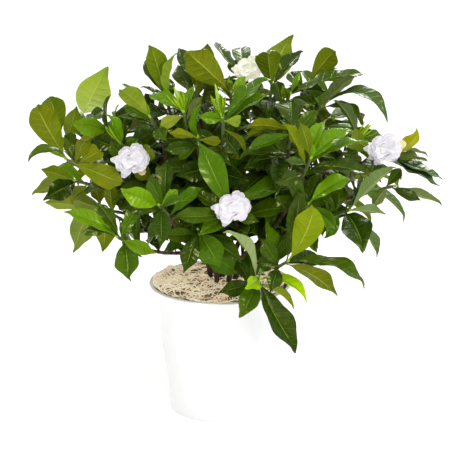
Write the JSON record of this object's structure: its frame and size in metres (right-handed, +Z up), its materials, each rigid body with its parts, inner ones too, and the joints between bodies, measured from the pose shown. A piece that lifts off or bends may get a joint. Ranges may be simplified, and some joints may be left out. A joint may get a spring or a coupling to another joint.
{
  "type": "potted gardenia",
  "caption": "Bushy potted gardenia with forking woody stems, glossy pointed leaves and white double blooms, in a plain white flared pot topped with curly wood-wool moss.",
  "frame": {"origin": "centre of the pot's flat base, on the surface it stands on", "axes": "+Z up along the pot's axis; -Y toward the viewer, the side with the open view of the moss; +X to the viewer's right"},
  "size_m": [0.5666, 0.4748, 0.5298],
  "materials": {
    "pot_glaze": "gloss",
    "potting_mix": "matte",
    "moss": "matte",
    "bark": "matte",
    "leaf_green": "satin",
    "leaf_bright": "satin",
    "leaf_dark": "gloss",
    "leaf_grey_green": "satin",
    "petal_white": "matte",
    "petal_cream": "matte"
  },
  "bodies": {
    "root": {"pot": "pot_glaze", "potting_mix": "potting_mix", "moss_mat": "moss", "woody_stems": "bark", "shoot_bloom_centre": "leaf_bright", "bloom_centre": "petal_white", "shoot_bloom_left": "leaf_green", "bloom_left": "petal_white", "shoot_bloom_right": "leaf_green", "bloom_right": "petal_white", "shoot_bloom_top": "leaf_green", "bloom_top": "petal_cream", "shoot_rim_right": "leaf_green", "shoot_low_right": "leaf_green", "shoot_mid_right": "leaf_bright", "shoot_drop_right": "leaf_green", "shoot_far_right": "leaf_green", "shoot_high_mid_right": "leaf_bright", "shoot_broad_right": "leaf_green", "shoot_back_right_arch": "leaf_grey_green", "shoot_grey_right": "leaf_green", "shoot_long_right": "leaf_green", "shoot_top_right": "leaf_green", "shoot_top_mid": "leaf_green", "shoot_crest_young": "leaf_bright", "shoot_crest_back": "leaf_green", "shoot_crest_left": "leaf_green", "shoot_bud_mid_left": "leaf_bright", "shoot_bud_mid": "leaf_bright", "shoot_curled_mid": "leaf_dark", "shoot_spray_left": "leaf_bright", "shoot_bud_left": "leaf_bright", "shoot_arch_left": "leaf_bright", "shoot_pale_left": "leaf_green", "shoot_left_high": "leaf_green", "shoot_left_crown": "leaf_green", "shoot_left_low": "leaf_green", "shoot_left_skirt": "leaf_green", "shoot_low_left": "leaf_bright", "shoot_upright_left": "leaf_green", "shoot_folded_left": "leaf_dark", "shoot_low_mid": "leaf_dark", "shoot_dark_mid": "leaf_dark", "shoot_dark_right": "leaf_dark", "shoot_dark_left": "leaf_dark", "shoot_dark_high": "leaf_dark", "shoot_back_1": "leaf_grey_green", "shoot_back_2": "leaf_grey_green", "shoot_back_3": "leaf_grey_green", "shoot_back_4": "leaf_grey_green", "shoot_back_5": "leaf_grey_green", "shoot_back_6": "leaf_grey_green", "shoot_back_7": "leaf_grey_green", "shoot_back_8": "leaf_grey_green", "shoot_back_9": "leaf_grey_green", "shoot_back_10": "leaf_grey_green", "shoot_back_11": "leaf_grey_green", "shoot_back_12": "leaf_grey_green", "shoot_back_13": "leaf_grey_green", "shoot_back_14": "leaf_grey_green"}
  },
  "joints": []
}
